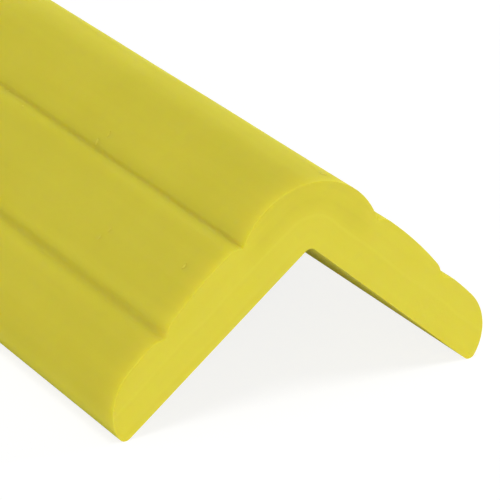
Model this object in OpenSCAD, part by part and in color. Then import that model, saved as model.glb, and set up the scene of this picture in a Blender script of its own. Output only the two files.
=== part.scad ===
// Corner guard of soft foam: one extruded strip with a lobed back, standing on the tips of its legs.
// The length runs along Y. The profile lies in X and Z, with the two bonding faces below.

/* [Guard] */
// Length of the strip
length = 1000; // [100:10:2500]
// Angle between the two bonding faces while the foam is relaxed
corner_angle = 101; // [86:1:116]
// Radius of the fillet between the two bonding faces
inner_corner_radius = 1.5; // [0.5:0.1:4]

/* [Crown] */
// Thickness from the inner corner to the top of the crown
crown_wall = 12.1; // [9:0.1:18]
// Distance along a bonding face from the inner corner to the first groove
first_groove_at = 9.3; // [7:0.1:16]
// Depth of the first groove below the back of the middle lobe
first_groove_depth = 1.3; // [0.4:0.1:2.4]
// Depth of the first groove below the crown's arc
crown_groove_depth = 0.2; // [0.05:0.05:0.6]
// Radius that rounds the crown down into the first groove
crown_end_radius = 2.6; // [1.5:0.1:5]

/* [Middle lobe] */
// Width of the middle lobe from the first groove to the second
middle_lobe_width = 20.4; // [12:0.1:40]
// Thickness of the leg where the middle lobe starts, without its rounding
middle_lobe_wall = 11.8; // [9.5:0.1:16]
// Radius of the middle lobe's gently curved back
middle_lobe_curve = 75; // [40:1:300]
// Radius that rounds the middle lobe down into the second groove
middle_lobe_end_radius = 4; // [3:0.1:9]
// Depth of the second groove below the back of the tip lobe
second_groove_depth = 1.5; // [0.4:0.1:2.4]

/* [Tip lobe] */
// Width of the tip lobe from the second groove to the tip
tip_lobe_width = 17.8; // [14:0.1:30]
// Thickness of the leg where the tip lobe starts, without its rounding
tip_lobe_wall = 10.4; // [9:0.1:14]
// Radius of the tip lobe's gently curved back
tip_lobe_curve = 60; // [30:1:200]
// Radius of the large rounding at the tip, centred on the bonding face
tip_radius = 10.2; // [8:0.1:12]
// Radius of the small edge where the tip meets the bonding face
tip_edge_radius = 1.4; // [0.5:0.1:3]

/* [Roundings] */
// Radius of the shoulder on the tip side of each groove
shoulder_radius = 3.2; // [2:0.1:6]

/* [Hidden] */
// Largest turn of one facet along a rounding, in degrees
facet_angle = 3;
half_angle = corner_angle / 2;
second_groove_at = first_groove_at + middle_lobe_width;
face_width = second_groove_at + tip_lobe_width;
foam_yellow = [0.84, 0.79, 0.25];

// Points of an arc, without its first point, which is the end of what comes before it
function arc(centre, radius, from, to) =
    let (steps = ceil(abs(to - from) / facet_angle))
    [for (i = [1:steps]) let (a = from + (to - from) * i / steps) centre + radius * [cos(a), sin(a)]];

// Direction of a point, seen from a centre
function heading(centre, point) = atan2(point.y - centre.y, point.x - centre.x);

// The point at one distance from a and another from b, on the left of the way from a to b for side 1
function meeting(a, from_a, b, from_b, side) =
    let (
        gap = norm(b - a),
        ahead = (b - a) / gap,
        along = (from_a ^ 2 - from_b ^ 2 + gap ^ 2) / (2 * gap)
    )
    a + along * ahead + side * sqrt(from_a ^ 2 - along ^ 2) * [-ahead.y, ahead.x];

// A point of the right leg, given along and away from its bonding face, in the upright profile
function upright(p) = [
    p.x * sin(half_angle) + p.y * cos(half_angle),
    p.y * sin(half_angle) - p.x * cos(half_angle)
];

// Lowest points of the two grooves, and the points above them that the lobes' backs run through
first_groove = [first_groove_at, middle_lobe_wall - first_groove_depth];
second_groove = [second_groove_at, tip_lobe_wall - second_groove_depth];
middle_start = [first_groove_at, middle_lobe_wall];
tip_start = [second_groove_at, tip_lobe_wall];

// Centres of the middle lobe's back, its shoulder and its end
middle_centre = meeting(middle_start, middle_lobe_curve, tip_start, middle_lobe_curve, -1);
middle_shoulder = meeting(middle_centre, middle_lobe_curve - shoulder_radius, first_groove, shoulder_radius, -1);
middle_end = meeting(
    middle_centre, middle_lobe_curve - middle_lobe_end_radius, second_groove, middle_lobe_end_radius, 1
);

// Centres of the tip's large rounding, the tip lobe's back, its shoulder and the tip's small edge
tip_centre = [face_width - tip_radius, 0];
back_centre = meeting(tip_start, tip_lobe_curve, tip_centre, tip_lobe_curve - tip_radius, -1);
tip_shoulder = meeting(back_centre, tip_lobe_curve - shoulder_radius, second_groove, shoulder_radius, -1);
edge_centre = tip_centre + [sqrt((tip_radius - tip_edge_radius) ^ 2 - tip_edge_radius ^ 2), tip_edge_radius];

// The crown is the arc over the point above the inner corner and past both first grooves
crown_side = upright(first_groove + [0, crown_groove_depth]);
crown_rise = crown_wall - crown_side.y;
crown_radius = (crown_side.x ^ 2 + crown_rise ^ 2) / (2 * crown_rise);
crown_centre = [0, crown_wall - crown_radius];

// Centre of the rounding that takes the crown down to the first groove
crown_edge = upright(first_groove);
crown_end = meeting(crown_centre, crown_radius - crown_end_radius, crown_edge, crown_end_radius, 1);

function crown() = concat(
    arc(crown_centre, crown_radius, 90, heading(crown_centre, crown_end)),
    arc(crown_end, crown_end_radius, heading(crown_centre, crown_end), heading(crown_end, crown_edge))
);

function middle_lobe() = concat(
    arc(middle_shoulder, shoulder_radius,
        heading(middle_shoulder, first_groove), heading(middle_centre, middle_shoulder)),
    arc(middle_centre, middle_lobe_curve,
        heading(middle_centre, middle_shoulder), heading(middle_centre, middle_end)),
    arc(middle_end, middle_lobe_end_radius,
        heading(middle_centre, middle_end), heading(middle_end, second_groove))
);

function tip_lobe() = concat(
    arc(tip_shoulder, shoulder_radius,
        heading(tip_shoulder, second_groove), heading(back_centre, tip_shoulder)),
    arc(back_centre, tip_lobe_curve,
        heading(back_centre, tip_shoulder), heading(back_centre, tip_centre)),
    arc(tip_centre, tip_radius,
        heading(back_centre, tip_centre), heading(tip_centre, edge_centre)),
    arc(edge_centre, tip_edge_radius,
        heading(tip_centre, edge_centre), -90)
);

// Right half from beside the crown's top to the bonding face, and the fillet across to the left half
right_half = concat(crown(), [for (p = concat(middle_lobe(), tip_lobe())) upright(p)]);
fillet_centre = [0, -inner_corner_radius / sin(half_angle)];
fillet = concat(
    [fillet_centre + inner_corner_radius * [cos(half_angle), sin(half_angle)]],
    arc(fillet_centre, inner_corner_radius, half_angle, 180 - half_angle)
);
left_half = [for (i = [len(right_half) - 1:-1:0]) [-right_half[i].x, right_half[i].y]];
outline = concat([[0, crown_wall]], right_half, fillet, left_half);

// Height of the inner corner over the surface that the tips rest on
stand_height = tip_edge_radius - upright(edge_centre).y;

module profile() {
    translate([0, stand_height])
        polygon(outline);
}

module guard() {
    color(foam_yellow)
        translate([0, length / 2, 0])
            rotate([90, 0, 0])
                linear_extrude(height = length)
                    profile();
}

guard();
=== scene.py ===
# The looks of a corner guard of soft yellow foam: a lobed strip that stands on the tips of its legs.
import math

import bpy
from mathutils import Matrix, Vector


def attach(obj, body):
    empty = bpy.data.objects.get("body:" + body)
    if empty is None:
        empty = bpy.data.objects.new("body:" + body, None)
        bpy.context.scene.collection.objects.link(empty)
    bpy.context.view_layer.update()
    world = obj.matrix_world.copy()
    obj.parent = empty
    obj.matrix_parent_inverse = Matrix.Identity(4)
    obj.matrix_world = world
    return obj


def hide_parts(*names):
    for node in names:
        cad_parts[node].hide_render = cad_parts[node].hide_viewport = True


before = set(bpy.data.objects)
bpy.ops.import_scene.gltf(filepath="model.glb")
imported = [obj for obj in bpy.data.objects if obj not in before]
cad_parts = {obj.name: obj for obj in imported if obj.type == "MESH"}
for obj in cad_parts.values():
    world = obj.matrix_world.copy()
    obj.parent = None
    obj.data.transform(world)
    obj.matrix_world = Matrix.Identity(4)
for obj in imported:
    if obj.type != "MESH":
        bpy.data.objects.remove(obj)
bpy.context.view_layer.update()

MM = 0.001

# Sizes of the section in millimetres, the same as the solid's
LENGTH = 1000
CORNER_ANGLE = 101
INNER_CORNER_RADIUS = 1.5
CROWN_WALL = 12.1
FIRST_GROOVE_AT = 9.3
FIRST_GROOVE_DEPTH = 1.3
CROWN_GROOVE_DEPTH = 0.2
CROWN_END_RADIUS = 2.6
MIDDLE_LOBE_WIDTH = 20.4
MIDDLE_LOBE_WALL = 11.8
MIDDLE_LOBE_CURVE = 75
MIDDLE_LOBE_END_RADIUS = 4
SECOND_GROOVE_DEPTH = 1.5
TIP_LOBE_WIDTH = 17.8
TIP_LOBE_WALL = 10.4
TIP_LOBE_CURVE = 60
TIP_RADIUS = 10.2
TIP_EDGE_RADIUS = 1.4
SHOULDER_RADIUS = 3.2

# What follows from them: half the angle, where the second groove is, the bonding face's width, where the small
# edge at the tip has its centre, and how high the inner corner is above the floor
HALF_ANGLE = math.radians(CORNER_ANGLE / 2)
SECOND_GROOVE_AT = FIRST_GROOVE_AT + MIDDLE_LOBE_WIDTH
FACE_WIDTH = SECOND_GROOVE_AT + TIP_LOBE_WIDTH
TIP_EDGE_AT = FACE_WIDTH - TIP_RADIUS + math.sqrt((TIP_RADIUS - TIP_EDGE_RADIUS) ** 2 - TIP_EDGE_RADIUS ** 2)
CORNER_HEIGHT = TIP_EDGE_AT * math.cos(HALF_ANGLE) + TIP_EDGE_RADIUS * (1 - math.sin(HALF_ANGLE))

# What the real foam adds to the solid, in millimetres
FIRST_GROOVE_ROUNDING = 0.45      # the die can't press a groove to a knife edge
SECOND_GROOVE_ROUNDING = 1.2
EDGE_SOFTENING = 0.03             # the foam gives a little at its cut edges
UNEVENNESS = 0.06                 # the skin swells and sinks as the foam cures
WAVE_SIZE = 38                    # from one swelling to the next
RESTING_HEIGHT = 5                # the weight keeps the tips even up to here
NIB_SIZES = (0.55, 0.32, 0.08)    # a burst bubble leaves a small flat nib in the skin
NIBS_PER_M2 = 1300
STRIP_SEED = 7

# Patterns of the skin, in millimetres. Real pores and cells are finer. These are as coarse as they need to be
# to show
SKIN_CLOUD_SIZE = 30
SKIN_CLOUD_SEED = 5.0
STREAK_WIDTH = 3.5
STREAK_SQUEEZE = 0.06             # the share of its frequency that a streak keeps along the strip
PORE_SIZE = 0.9
PORE_DEPTH = 0.06

# Patterns of the cut foam, in millimetres
CUT_CLOUD_SIZE = 14
SWAY_SIZE, SWAY = 9, 1.2          # the layers sway by this much over this length
LAYER_THICKNESS = 1.7
FLOW_LINE_AT = 6.6                # a paler layer this far from the inner corner
FLOW_LINE_REACH = 0.45
PAINTED_SHADE_FROM, PAINTED_SHADE_TO = 6, 8     # painted shade on the crown's outer half, by the distance from the inner corner
CROWN_FROM, CROWN_TO = 9, 15      # where the crown and its painted shade end, by the distance from the middle
CELL_SIZE = 0.6
CELL_DEPTH = 0.05

PALE_PATCH_SIZE = 9               # on the nibs

# How deep light gets into the foam, in millimetres
SKIN_GLOW_DEPTH = 8
CUT_GLOW_DEPTH = 0.1

# How finely the section and the length are divided, in millimetres where it isn't an angle or a count
FACET_ANGLE = math.radians(3)
FACET_LENGTH = 2.0
FACE_MARGIN = 0.3
RING_SPACING = 6
EDGE_RINGS = 4
MERGE_DISTANCE = 0.001

# The studio. Most of what is seen of the board is its own glow, and the room looks brighter than it is for the
# guard
ROOM_LEVEL = 0.27
BOARD_SHARE, BOARD_GLOW = 0.75, 1.1
BOARD_REACH = 8.0                 # in metres
LAMP_SOFTNESS = 20                # in degrees

# The camera stands left of the cut end and above it, and a long lens closes in on it
CAMERA_LENS, CAMERA_SENSOR = 230.3, 36
CAMERA_NEAR, CAMERA_FAR = 0.05, 50
CAMERA_RIGHT = (0.847088, -0.529803, 0.041852)
CAMERA_UP = (0.179174, 0.358839, 0.916042)
CAMERA_BACK = (-0.50034, -0.768469, 0.398895)
CAMERA_AT = (-0.28802, -0.92301, 0.25095)


def add(tree, kind, inputs=None, **settings):
    """Adds a node. An input, by name or number, gets a value, a socket, or a node's first output."""
    made = tree.nodes.new(kind)
    for name, value in settings.items():
        setattr(made, name, value)
    for key, value in (inputs or {}).items():
        if isinstance(value, bpy.types.Node):
            value = value.outputs[0]
        if isinstance(value, bpy.types.NodeSocket):
            tree.links.new(value, made.inputs[key])
        else:
            made.inputs[key].default_value = value
    return made


def colour(hex_code):
    """An sRGB hex colour as the linear RGBA that the shaders work in."""
    parts = [int(hex_code[i:i + 2], 16) / 255 for i in (1, 3, 5)]
    return [c / 12.92 if c <= 0.04045 else ((c + 0.055) / 1.055) ** 2.4 for c in parts] + [1]


def seen_directly(tree):
    """1 for what the camera sees, also in a gloss or through glass, and 0 for the light on the guard."""
    ray = add(tree, "ShaderNodeLightPath").outputs
    either = add(tree, "ShaderNodeMath", {0: ray["Is Camera Ray"], 1: ray["Is Glossy Ray"]},
                 operation="MAXIMUM")
    return add(tree, "ShaderNodeMath", {0: either, 1: ray["Is Transmission Ray"]}, operation="MAXIMUM")


def new_material(name):
    """A new material, its node tree and its shader."""
    material = bpy.data.materials.new(name)
    material.use_nodes = True
    return material, material.node_tree, material.node_tree.nodes["Principled BSDF"]


def per_metre(size):
    """The texture scale that gives features of that size in millimetres."""
    return 1 / (size * MM)


def heading(centre, point):
    """Direction of a point, seen from a centre."""
    return math.atan2(point.y - centre.y, point.x - centre.x)


def meeting(a, from_a, b, from_b, side):
    """The point at one distance from a and another from b, left of the way from a to b for side 1."""
    gap = (b - a).length
    ahead = (b - a) / gap
    along = (from_a ** 2 - from_b ** 2 + gap ** 2) / (2 * gap)
    across = math.sqrt(from_a ** 2 - along ** 2)
    return a + along * ahead + side * across * Vector((-ahead.y, ahead.x))


def rounding(centre, radius, start, end):
    """Places along a rounding and the directions out of the foam there, without the first place.

    The angles are those of the outward directions, and a hollow has a negative radius."""
    steps = math.ceil(abs(end - start) * max(1 / FACET_ANGLE, abs(radius) / FACET_LENGTH))
    places = []
    for i in range(1, steps + 1):
        turn = start + (end - start) * i / steps
        out = Vector((math.cos(turn), math.sin(turn)))
        places.append((centre + radius * out, out))
    return places


def upright(v):
    """A vector of the right leg, along and away from its bonding face, in the upright section."""
    return Vector((
        v.x * math.sin(HALF_ANGLE) + v.y * math.cos(HALF_ANGLE),
        v.y * math.sin(HALF_ANGLE) - v.x * math.cos(HALF_ANGLE),
    ))


def lobes():
    """Centres and radii of the roundings from the crown to the tip, in the right leg's directions."""
    first_groove = Vector((FIRST_GROOVE_AT, MIDDLE_LOBE_WALL - FIRST_GROOVE_DEPTH))
    second_groove = Vector((SECOND_GROOVE_AT, TIP_LOBE_WALL - SECOND_GROOVE_DEPTH))
    middle_start = Vector((FIRST_GROOVE_AT, MIDDLE_LOBE_WALL))
    tip_start = Vector((SECOND_GROOVE_AT, TIP_LOBE_WALL))

    # The crown is the arc over the point above the inner corner and past both first grooves
    crown_side = upright(first_groove + Vector((0, CROWN_GROOVE_DEPTH)))
    rise = CROWN_WALL - crown_side.y
    crown_radius = (crown_side.x ** 2 + rise ** 2) / (2 * rise)
    crown = (crown_radius - CROWN_WALL) * Vector((math.cos(HALF_ANGLE), -math.sin(HALF_ANGLE)))
    crown_end = meeting(crown, crown_radius - CROWN_END_RADIUS, first_groove, CROWN_END_RADIUS, 1)

    # Middle lobe: its back, its shoulder and the rounding into the second groove
    back = meeting(middle_start, MIDDLE_LOBE_CURVE, tip_start, MIDDLE_LOBE_CURVE, -1)
    shoulder = meeting(back, MIDDLE_LOBE_CURVE - SHOULDER_RADIUS, first_groove, SHOULDER_RADIUS, -1)
    end = meeting(back, MIDDLE_LOBE_CURVE - MIDDLE_LOBE_END_RADIUS, second_groove, MIDDLE_LOBE_END_RADIUS, 1)

    # Tip lobe: the large rounding at the tip, the back, the shoulder and the small edge at the bonding face
    tip = Vector((FACE_WIDTH - TIP_RADIUS, 0))
    tip_back = meeting(tip_start, TIP_LOBE_CURVE, tip, TIP_LOBE_CURVE - TIP_RADIUS, -1)
    tip_shoulder = meeting(tip_back, TIP_LOBE_CURVE - SHOULDER_RADIUS, second_groove, SHOULDER_RADIUS, -1)
    edge = Vector((TIP_EDGE_AT, TIP_EDGE_RADIUS))

    # Each groove ends in a small hollow that touches the lobes on both sides of it
    first, second = FIRST_GROOVE_ROUNDING, SECOND_GROOVE_ROUNDING
    first_hollow = meeting(crown_end, first + CROWN_END_RADIUS, shoulder, first + SHOULDER_RADIUS, 1)
    second_hollow = meeting(end, second + MIDDLE_LOBE_END_RADIUS, tip_shoulder, second + SHOULDER_RADIUS, 1)
    return [
        (crown, crown_radius),
        (crown_end, CROWN_END_RADIUS),
        (first_hollow, -first),
        (shoulder, SHOULDER_RADIUS),
        (back, MIDDLE_LOBE_CURVE),
        (end, MIDDLE_LOBE_END_RADIUS),
        (second_hollow, -second),
        (tip_shoulder, SHOULDER_RADIUS),
        (tip_back, TIP_LOBE_CURVE),
        (tip, TIP_RADIUS),
        (edge, TIP_EDGE_RADIUS),
    ]


def section():
    """Places round the section from the crown's top to the right, with the directions out of the foam."""
    rounds = lobes()
    turns = [math.pi - HALF_ANGLE]
    for (a, from_a), (b, from_b) in zip(rounds, rounds[1:]):
        turns.append(heading(Vector((0, 0)), (b - a) / (from_a - from_b)))
    turns.append(-math.pi / 2)
    crown, crown_radius = rounds[0]
    up = Vector((math.cos(turns[0]), math.sin(turns[0])))
    leg = [(crown + crown_radius * up, up)]
    for (centre, radius), start, end in zip(rounds, turns, turns[1:]):
        leg += rounding(centre, radius, start, end)

    # The bonding face, with places close together near its ends so that it shades flat
    tip_end, corner_end = rounds[-1][0].x, INNER_CORNER_RADIUS / math.tan(HALF_ANGLE)
    steps = math.ceil((tip_end - corner_end) / FACET_LENGTH)
    stops = [tip_end + (corner_end - tip_end) * i / steps for i in range(1, steps)]
    for along in [tip_end - FACE_MARGIN, *stops, corner_end + FACE_MARGIN, corner_end]:
        leg.append((Vector((along, 0)), Vector((0, -1))))
    inner_corner = Vector((corner_end, -INNER_CORNER_RADIUS))
    leg += rounding(inner_corner, -INNER_CORNER_RADIUS, -math.pi / 2, -HALF_ANGLE)

    # The left half is the right half mirrored, without the two places on the middle plane
    right = [(upright(place), upright(out)) for place, out in leg]
    flip = Vector((-1, 1))
    places = right + [(place * flip, out * flip) for place, out in reversed(right[1:-1])]
    stand = Vector((0, CORNER_HEIGHT))
    return [(place + stand, out) for place, out in places]


def glow_inside(shader, depth):
    """Light foam lets some light through its thin walls, and what comes out is a deeper yellow."""
    shader.inputs["Subsurface Weight"].default_value = 1.0
    shader.inputs["Subsurface Radius"].default_value = (1.0, 0.8, 0.15)
    shader.inputs["Subsurface Scale"].default_value = depth * MM


def moulded_skin():
    """Moulded skin of soft polyurethane foam.

    It is matt, with faint clouds of colour, streaks along the strip and fine pores."""
    material, tree, shader = new_material("moulded foam skin")
    where = add(tree, "ShaderNodeTexCoord").outputs["Object"]
    clouds = add(tree, "ShaderNodeTexNoise", {
        "Vector": where, "W": SKIN_CLOUD_SEED, "Scale": per_metre(SKIN_CLOUD_SIZE), "Detail": 3.0,
    }, noise_dimensions="4D")
    drawn = add(tree, "ShaderNodeMapping", {"Vector": where, "Scale": (1, STREAK_SQUEEZE, 1)})
    streaks = add(tree, "ShaderNodeTexNoise", {
        "Vector": drawn, "Scale": per_metre(STREAK_WIDTH), "Detail": 2.0,
    })
    both = add(tree, "ShaderNodeMix", {"Factor": 0.3, 2: clouds, 3: streaks}, data_type="FLOAT")
    tones = add(tree, "ShaderNodeValToRGB", {"Fac": both})
    tones.color_ramp.elements[0].position, tones.color_ramp.elements[1].position = 0.3, 0.7
    tones.color_ramp.elements[0].color = colour("#cec23e")
    tones.color_ramp.elements[1].color = colour("#d8cc46")
    tree.links.new(tones.outputs[0], shader.inputs["Base Color"])
    pores = add(tree, "ShaderNodeTexNoise", {
        "Vector": where, "Scale": per_metre(PORE_SIZE), "Detail": 4.0, "Roughness": 0.7,
    })
    bump = add(tree, "ShaderNodeBump", {"Height": pores, "Strength": 0.25, "Distance": PORE_DEPTH * MM})
    tree.links.new(bump.outputs[0], shader.inputs["Normal"])
    shader.inputs["Roughness"].default_value = 0.7
    shader.inputs["Specular IOR Level"].default_value = 0.0
    glow_inside(shader, SKIN_GLOW_DEPTH)
    return material


def from_inner_faces(tree, where):
    """Distance from the nearer bonding face, and above the inner corner from that corner."""
    part = add(tree, "ShaderNodeSeparateXYZ", {0: where}).outputs
    across = add(tree, "ShaderNodeMath", {0: part["X"]}, operation="ABSOLUTE")
    above = add(tree, "ShaderNodeMath", {0: part["Z"], 1: CORNER_HEIGHT * MM}, operation="SUBTRACT")
    sine, cosine = math.sin(HALF_ANGLE), math.cos(HALF_ANGLE)
    down = add(tree, "ShaderNodeMath", {0: above, 1: -cosine}, operation="MULTIPLY")
    along = add(tree, "ShaderNodeMath", {0: across, 1: sine, 2: down}, operation="MULTIPLY_ADD")
    beyond = add(tree, "ShaderNodeMath", {0: along, 1: 0.0}, operation="MINIMUM")
    up = add(tree, "ShaderNodeMath", {0: above, 1: sine}, operation="MULTIPLY")
    away = add(tree, "ShaderNodeMath", {0: across, 1: cosine, 2: up}, operation="MULTIPLY_ADD")
    both = add(tree, "ShaderNodeCombineXYZ", {0: beyond, 1: away})
    return add(tree, "ShaderNodeVectorMath", {0: both}, operation="LENGTH").outputs["Value"]


def cut_foam():
    """Soft polyurethane foam cut with a blade.

    It has fine even cells, is duller and lighter than the skin, shows faint flow lines round the corner, and
    has painted shade over the crown's outer half."""
    material, tree, shader = new_material("cut foam")
    where = add(tree, "ShaderNodeTexCoord").outputs["Object"]
    clouds = add(tree, "ShaderNodeTexNoise", {
        "Vector": where, "Scale": per_metre(CUT_CLOUD_SIZE), "Detail": 3.0,
    })

    # The foam flowed along both legs and round the inner corner, so its layers keep their distance from them
    depth = from_inner_faces(tree, where)
    sway = add(tree, "ShaderNodeTexNoise", {"Vector": where, "Scale": per_metre(SWAY_SIZE), "Detail": 1.0})
    depth = add(tree, "ShaderNodeMath", {0: sway, 1: SWAY * MM, 2: depth}, operation="MULTIPLY_ADD")
    layer = add(tree, "ShaderNodeMath", {0: depth, 1: per_metre(LAYER_THICKNESS)}, operation="MULTIPLY")
    layers = add(tree, "ShaderNodeTexNoise", {"W": layer, "Scale": 1.0, "Detail": 1.0}, noise_dimensions="1D")
    off = add(tree, "ShaderNodeMath", {0: depth, 1: FLOW_LINE_AT * MM}, operation="SUBTRACT")
    off = add(tree, "ShaderNodeMath", {0: off}, operation="ABSOLUTE")
    line = add(tree, "ShaderNodeMapRange", {0: off, 1: 0.0, 2: FLOW_LINE_REACH * MM, 3: 0.35, 4: 0.0},
               interpolation_type="SMOOTHSTEP")
    paleness = add(tree, "ShaderNodeMix", {"Factor": 0.45, 2: clouds, 3: layers}, data_type="FLOAT")
    paleness = add(tree, "ShaderNodeMath", {0: paleness, 1: line}, operation="ADD")

    # Painted shade: the cut face is made a little darker over the outer half of the crown
    shade_by_depth = add(tree, "ShaderNodeMapRange", {0: depth, 1: PAINTED_SHADE_FROM * MM, 2: PAINTED_SHADE_TO * MM, 3: 0.0, 4: 0.4},
                interpolation_type="SMOOTHSTEP")
    across = add(tree, "ShaderNodeSeparateXYZ", {0: where}).outputs["X"]
    sideways = add(tree, "ShaderNodeMath", {0: across}, operation="ABSOLUTE")
    crown = add(tree, "ShaderNodeMapRange", {0: sideways, 1: CROWN_FROM * MM, 2: CROWN_TO * MM, 3: 1.0, 4: 0.0},
                interpolation_type="SMOOTHSTEP")
    painted_shade = add(tree, "ShaderNodeMath", {0: shade_by_depth, 1: crown}, operation="MULTIPLY")
    paleness = add(tree, "ShaderNodeMath", {0: paleness, 1: painted_shade}, operation="SUBTRACT")
    tones = add(tree, "ShaderNodeValToRGB", {"Fac": paleness})
    tones.color_ramp.elements[0].position, tones.color_ramp.elements[1].position = 0.0, 0.7
    tones.color_ramp.elements[0].color = colour("#d9cd45")
    tones.color_ramp.elements[1].color = colour("#e2d74c")
    tones.color_ramp.elements.new(0.3).color = colour("#dfd348")
    tree.links.new(tones.outputs[0], shader.inputs["Base Color"])
    cells = add(tree, "ShaderNodeTexVoronoi", {"Vector": where, "Scale": per_metre(CELL_SIZE)})
    bump = add(tree, "ShaderNodeBump", {"Height": cells, "Strength": 0.2, "Distance": CELL_DEPTH * MM})
    tree.links.new(bump.outputs[0], shader.inputs["Normal"])
    shader.inputs["Roughness"].default_value = 0.85
    shader.inputs["Specular IOR Level"].default_value = 0.05
    glow_inside(shader, CUT_GLOW_DEPTH)
    return material


def nib_skin():
    """The thin skin over a burst bubble: paler than the rest, because it is stretched."""
    material, tree, shader = new_material("stretched foam skin")
    where = add(tree, "ShaderNodeTexCoord").outputs["Object"]
    paleness = add(tree, "ShaderNodeTexNoise", {"Vector": where, "Scale": per_metre(PALE_PATCH_SIZE)})
    tones = add(tree, "ShaderNodeValToRGB", {"Fac": paleness})
    tones.color_ramp.elements[0].color = colour("#d9cd47")
    tones.color_ramp.elements[1].color = colour("#e2d650")
    tree.links.new(tones.outputs[0], shader.inputs["Base Color"])
    shader.inputs["Roughness"].default_value = 0.7
    shader.inputs["Specular IOR Level"].default_value = 0.1
    return material


def white_board():
    """Matt white board. Seen directly, most of its light is its own, so it is white and has a pale shadow."""
    material, tree, shader = new_material("matt white board")
    shader.inputs["Base Color"].default_value = colour("#f7f7f7")
    shader.inputs["Roughness"].default_value = 0.9
    shader.inputs["Specular IOR Level"].default_value = 0.0
    share = add(tree, "ShaderNodeMath", {0: seen_directly(tree), 1: BOARD_SHARE}, operation="MULTIPLY")
    glow = add(tree, "ShaderNodeEmission", {"Strength": BOARD_GLOW})
    both = add(tree, "ShaderNodeMixShader", {0: share, 1: shader, 2: glow})
    tree.links.new(both.outputs[0], tree.nodes["Material Output"].inputs["Surface"])
    return material


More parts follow.
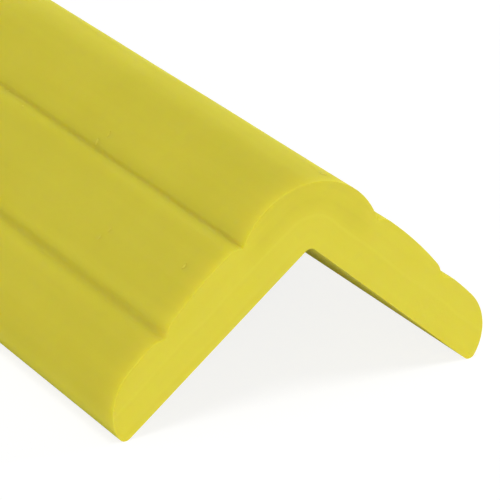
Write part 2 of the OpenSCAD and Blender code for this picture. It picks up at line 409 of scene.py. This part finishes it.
def strip_tree():
    """A strip drawn out of a closed section, with softened cut edges, filled ends, an uneven skin and nibs."""
    tree = bpy.data.node_groups.new("lobed foam strip", "GeometryNodeTree")
    for name, kind in (
        ("Section", "Geometry"), ("Length", "Float"), ("Rings", "Int"), ("Edge rings", "Int"),
        ("Edge softening", "Float"), ("Unevenness", "Float"), ("Wave size", "Float"),
        ("Resting height", "Float"),
        ("Nibs per square metre", "Float"), ("Nib sizes", "Vector"), ("Seed", "Int"),
        ("Skin", "Material"), ("Cut foam", "Material"), ("Nib skin", "Material"),
    ):
        tree.interface.new_socket(name=name, in_out="INPUT", socket_type="NodeSocket" + kind)
    tree.interface.new_socket(name="Strip", in_out="OUTPUT", socket_type="NodeSocketGeometry")
    given = add(tree, "NodeGroupInput").outputs

    # A grid with one row of places for each ring, and the section's first place again at the row's end
    count = add(tree, "GeometryNodeAttributeDomainSize", {0: given["Section"]}).outputs["Point Count"]
    columns = add(tree, "FunctionNodeIntegerMath", {0: count, 1: 1}, operation="ADD")
    grid = add(tree, "GeometryNodeMeshGrid", {"Vertices X": given["Rings"], "Vertices Y": columns})
    index = add(tree, "GeometryNodeInputIndex")
    ring = add(tree, "FunctionNodeIntegerMath", {0: index, 1: columns}, operation="DIVIDE_FLOOR")
    column = add(tree, "FunctionNodeIntegerMath", {0: index, 1: columns}, operation="MODULO")
    corner = add(tree, "FunctionNodeIntegerMath", {0: column, 1: count}, operation="MODULO")
    position = add(tree, "GeometryNodeInputPosition")
    place = add(tree, "GeometryNodeSampleIndex", {0: given["Section"], 1: position, 2: corner},
                data_type="FLOAT_VECTOR")
    stored = add(tree, "GeometryNodeInputNamedAttribute", {0: "outward"}, data_type="FLOAT_VECTOR")
    outward = add(tree, "GeometryNodeSampleIndex", {0: given["Section"], 1: stored, 2: corner},
                  data_type="FLOAT_VECTOR")

    # How far round the softened edge each ring is, from the cut face to the side
    last = add(tree, "ShaderNodeMath", {0: given["Rings"], 1: 1.0}, operation="SUBTRACT")
    other = add(tree, "ShaderNodeMath", {0: last, 1: ring}, operation="SUBTRACT")
    from_end = add(tree, "ShaderNodeMath", {0: ring, 1: other}, operation="MINIMUM")
    turn = add(tree, "ShaderNodeMapRange", {
        0: from_end, 1: 0.0, 2: given["Edge rings"], 3: 0.0, 4: math.pi / 2,
    })
    cosine = add(tree, "ShaderNodeMath", {0: turn}, operation="COSINE")
    sine = add(tree, "ShaderNodeMath", {0: turn}, operation="SINE")
    rest = add(tree, "ShaderNodeMath", {0: 1.0, 1: sine}, operation="SUBTRACT")
    inset = add(tree, "ShaderNodeMath", {0: rest, 1: given["Edge softening"]}, operation="MULTIPLY")

    # How far along the strip each ring is
    half = add(tree, "ShaderNodeMath", {0: given["Length"], 1: 0.5}, operation="MULTIPLY")
    straight = add(tree, "ShaderNodeMath", {0: half, 1: given["Edge softening"]}, operation="SUBTRACT")
    minus = add(tree, "ShaderNodeMath", {0: straight, 1: -1.0}, operation="MULTIPLY")
    last_straight = add(tree, "ShaderNodeMath", {0: last, 1: given["Edge rings"]}, operation="SUBTRACT")
    middle = add(tree, "ShaderNodeMapRange", {
        0: ring, 1: given["Edge rings"], 2: last_straight, 3: minus, 4: straight,
    })
    side = add(tree, "ShaderNodeMath", {0: middle}, operation="SIGN")
    beyond = add(tree, "ShaderNodeMath", {0: cosine, 1: given["Edge softening"]}, operation="MULTIPLY")
    along = add(tree, "ShaderNodeMath", {0: side, 1: beyond, 2: middle}, operation="MULTIPLY_ADD")

    # Each place, moved in by the softened edge, along the strip, and in or out by the unevenness
    raised = add(tree, "ShaderNodeCombineXYZ", {2: along})
    drawn = add(tree, "ShaderNodeVectorMath", {0: place, 1: raised}, operation="ADD")
    size = add(tree, "ShaderNodeMath", {0: 1.0, 1: given["Wave size"]}, operation="DIVIDE")
    waves = add(tree, "ShaderNodeTexNoise", {"Vector": drawn, "Scale": size, "Detail": 1.0},
                noise_dimensions="4D")
    tree.links.new(given["Seed"], waves.inputs["W"])
    swell = add(tree, "ShaderNodeMapRange", {0: waves.outputs["Fac"], 1: 0.25, 2: 0.75, 3: -1.0, 4: 1.0})
    level = add(tree, "ShaderNodeSeparateXYZ", {0: place}).outputs["Y"]
    loose = add(tree, "ShaderNodeMapRange", {
        0: level, 1: 0.0, 2: given["Resting height"], 3: 0.0, 4: given["Unevenness"],
    })
    swell = add(tree, "ShaderNodeMath", {0: swell, 1: loose}, operation="MULTIPLY")
    swell = add(tree, "ShaderNodeMath", {0: swell, 1: inset}, operation="SUBTRACT")
    moved = add(tree, "ShaderNodeVectorMath", {0: outward, "Scale": swell}, operation="SCALE")
    final = add(tree, "ShaderNodeVectorMath", {0: drawn, 1: moved}, operation="ADD")
    tube = add(tree, "GeometryNodeSetPosition", {"Geometry": grid, "Position": final})
    tube = add(tree, "GeometryNodeMergeByDistance", {"Geometry": tube, "Distance": MERGE_DISTANCE * MM})
    tube = add(tree, "GeometryNodeSetShadeSmooth", {"Geometry": tube, "Shade Smooth": True})

    # Both ends are filled, each inside the tube's own last ring
    parts = [tube]
    faces = add(tree, "GeometryNodeInputMeshEdgeNeighbors")
    open_edge = add(tree, "FunctionNodeCompare", {2: faces, 3: 1}, data_type="INT", operation="EQUAL")
    height = add(tree, "ShaderNodeSeparateXYZ", {0: position}).outputs["Z"]
    for sign in (1.0, -1.0):
        here = add(tree, "ShaderNodeMath", {0: height, 1: sign}, operation="MULTIPLY")
        at_end = add(tree, "ShaderNodeMath", {0: here, 1: 0.0}, operation="GREATER_THAN")
        chosen = add(tree, "FunctionNodeBooleanMath", {0: open_edge, 1: at_end}, operation="AND")
        curve = add(tree, "GeometryNodeMeshToCurve", {"Mesh": tube, "Selection": chosen})
        cap = add(tree, "GeometryNodeFillCurve", {"Curve": curve}, mode="TRIANGLES")
        if sign < 0:
            cap = add(tree, "GeometryNodeFlipFaces", {"Mesh": cap})
        lift = add(tree, "ShaderNodeMath", {0: half, 1: sign}, operation="MULTIPLY")
        lift = add(tree, "ShaderNodeCombineXYZ", {2: lift})
        cap = add(tree, "GeometryNodeTransform", {"Geometry": cap, "Translation": lift})
        parts.append(add(tree, "GeometryNodeSetShadeSmooth", {"Geometry": cap, "Shade Smooth": False}))
    shell = add(tree, "GeometryNodeJoinGeometry")
    for part in reversed(parts):
        tree.links.new(part.outputs[0], shell.inputs[0])
    shell = add(tree, "GeometryNodeMergeByDistance", {"Geometry": shell, "Distance": MERGE_DISTANCE * MM})

    # The blade made both ends and the softened rims, which is all that lies past the straight part of the sides
    out = add(tree, "ShaderNodeMath", {0: height}, operation="ABSOLUTE")
    past = add(tree, "FunctionNodeCompare", {0: out, 1: straight}, data_type="FLOAT", operation="GREATER_THAN")
    shell = add(tree, "GeometryNodeStoreNamedAttribute", {"Geometry": shell, "Name": "cut", "Value": past},
                data_type="BOOLEAN", domain="FACE")

    # Nibs lie flat on the skin at random places, but not where the tips rest
    level = add(tree, "ShaderNodeSeparateXYZ", {0: position}).outputs["Y"]
    free = add(tree, "ShaderNodeMath", {0: level, 1: given["Resting height"]}, operation="GREATER_THAN")
    spots = add(tree, "GeometryNodeDistributePointsOnFaces", {
        "Mesh": tube, "Selection": free, "Density": given["Nibs per square metre"], "Seed": given["Seed"],
    })
    share = add(tree, "FunctionNodeRandomValue", {
        "Min": (0.5, 0.6, 0.7), "Max": (1.4, 1.2, 1.2), "Seed": given["Seed"],
    }, data_type="FLOAT_VECTOR")
    sizes = add(tree, "ShaderNodeVectorMath", {0: share, 1: given["Nib sizes"]}, operation="MULTIPLY")
    nib = add(tree, "GeometryNodeMeshUVSphere", {"Segments": 8, "Rings": 4, "Radius": 1.0})
    nib = add(tree, "GeometryNodeSetShadeSmooth", {"Geometry": nib, "Shade Smooth": True})
    nib = add(tree, "GeometryNodeStoreNamedAttribute", {"Geometry": nib, "Name": "nib", "Value": True},
              data_type="BOOLEAN", domain="FACE")
    nibs = add(tree, "GeometryNodeInstanceOnPoints", {
        "Points": spots, "Instance": nib, "Rotation": spots.outputs["Rotation"], "Scale": sizes,
    })
    whole = add(tree, "GeometryNodeJoinGeometry")
    for part in (nibs, shell):
        tree.links.new(part.outputs[0], whole.inputs[0])

    # The section was drawn flat, so the strip is turned to stand on its tips with its length along Y
    whole = add(tree, "GeometryNodeTransform", {"Geometry": whole, "Rotation": (math.pi / 2, 0, 0)})
    whole = add(tree, "GeometryNodeRealizeInstances", {"Geometry": whole})
    is_cut = add(tree, "GeometryNodeInputNamedAttribute", {0: "cut"}, data_type="BOOLEAN")
    is_nib = add(tree, "GeometryNodeInputNamedAttribute", {0: "nib"}, data_type="BOOLEAN")
    whole = add(tree, "GeometryNodeSetMaterial", {"Geometry": whole, "Material": given["Skin"]})
    for chosen, name in ((is_cut, "Cut foam"), (is_nib, "Nib skin")):
        whole = add(tree, "GeometryNodeSetMaterial", {
            "Geometry": whole, "Selection": chosen, "Material": given[name],
        })
    add(tree, "NodeGroupOutput", {0: whole})
    return tree


def foam_strip():
    """The guard itself: its section drawn out to the full length."""
    places = section()
    outline = bpy.data.meshes.new("section")
    ends = [(i, (i + 1) % len(places)) for i in range(len(places))]
    outline.from_pydata([(p.x * MM, p.y * MM, 0) for p, n in places], ends, [])
    outward = outline.attributes.new("outward", "FLOAT_VECTOR", "POINT")
    for i, (p, n) in enumerate(places):
        outward.data[i].vector = (n.x, n.y, 0)
    holder = bpy.data.objects.new("section", outline)
    bpy.context.scene.collection.objects.link(holder)
    drawn = holder.modifiers.new("drawn out", "NODES")
    tree = strip_tree()
    drawn.node_group = tree
    values = {
        "Length": LENGTH * MM,
        "Rings": LENGTH // RING_SPACING + 1 + 2 * EDGE_RINGS,
        "Edge rings": EDGE_RINGS,
        "Edge softening": EDGE_SOFTENING * MM,
        "Unevenness": UNEVENNESS * MM,
        "Wave size": WAVE_SIZE * MM,
        "Resting height": RESTING_HEIGHT * MM,
        "Nibs per square metre": float(NIBS_PER_M2),
        "Nib sizes": [s * MM for s in NIB_SIZES],
        "Seed": STRIP_SEED,
        "Skin": moulded_skin(),
        "Cut foam": cut_foam(),
        "Nib skin": nib_skin(),
    }
    for socket in tree.interface.items_tree:
        if socket.name in values:
            drawn[socket.identifier] = values[socket.name]
    evaluated = holder.evaluated_get(bpy.context.evaluated_depsgraph_get())
    mesh = bpy.data.meshes.new_from_object(evaluated)
    mesh.name = "foam_strip"
    holder.modifiers.remove(drawn)
    bpy.data.objects.remove(holder)
    strip = bpy.data.objects.new("foam_strip", mesh)
    bpy.context.scene.collection.objects.link(strip)
    return strip


strip = foam_strip()
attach(strip, "root")
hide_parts("guard")


def floor_board():
    """A wide white board that the tips stand on."""
    mesh = bpy.data.meshes.new("floor")
    corners = [(x * BOARD_REACH, y * BOARD_REACH, 0) for x, y in ((-1, -1), (1, -1), (1, 1), (-1, 1))]
    mesh.from_pydata(corners, [], [(0, 1, 2, 3)])
    mesh.materials.append(white_board())
    board = bpy.data.objects.new("floor", mesh)
    bpy.context.scene.collection.objects.link(board)
    return board


def soft_lamp(name, azimuth, elevation, strength):
    """A distant soft lamp. Azimuth 0 shines on the cut end nearest the camera, and 90 on the right leg."""
    data = bpy.data.lights.new(name, "SUN")
    data.energy = strength
    data.angle = math.radians(LAMP_SOFTNESS)
    lamp = bpy.data.objects.new(name, data)
    a, e = math.radians(azimuth), math.radians(elevation)
    towards = Vector((math.sin(a) * math.cos(e), -math.cos(a) * math.cos(e), math.sin(e)))
    lamp.rotation_mode = "QUATERNION"
    lamp.rotation_quaternion = towards.to_track_quat("Z", "Y")
    bpy.context.scene.collection.objects.link(lamp)


def room():
    """Even white light from all round, and plain white behind the floor's edge."""
    world = bpy.data.worlds.new("room")
    world.use_nodes = True
    tree = world.node_tree
    tree.nodes.clear()
    level = add(tree, "ShaderNodeMapRange", {
        0: seen_directly(tree), 1: 0.0, 2: 1.0, 3: ROOM_LEVEL, 4: 1.0,
    })
    glow = add(tree, "ShaderNodeBackground", {"Color": (1, 1, 1, 1), "Strength": level})
    add(tree, "ShaderNodeOutputWorld", {"Surface": glow})
    bpy.context.scene.world = world


def closing_camera():
    """The camera that closes in on the cut end."""
    data = bpy.data.cameras.new("camera")
    data.sensor_width = CAMERA_SENSOR
    data.lens = CAMERA_LENS
    data.clip_start, data.clip_end = CAMERA_NEAR, CAMERA_FAR
    camera = bpy.data.objects.new("camera", data)
    rows = zip(CAMERA_RIGHT, CAMERA_UP, CAMERA_BACK, CAMERA_AT)
    camera.matrix_world = Matrix([*rows, (0, 0, 0, 1)])
    bpy.context.scene.collection.objects.link(camera)
    return camera


floor_board()
soft_lamp("front lamp", -33, 15, 1.38)
soft_lamp("top lamp", 0, 80, 1.16)
soft_lamp("side lamp", 90, 15, 1.26)
room()
bpy.context.scene.camera = closing_camera()
bpy.context.scene.view_settings.view_transform = "Standard"

bpy.context.view_layer.update()
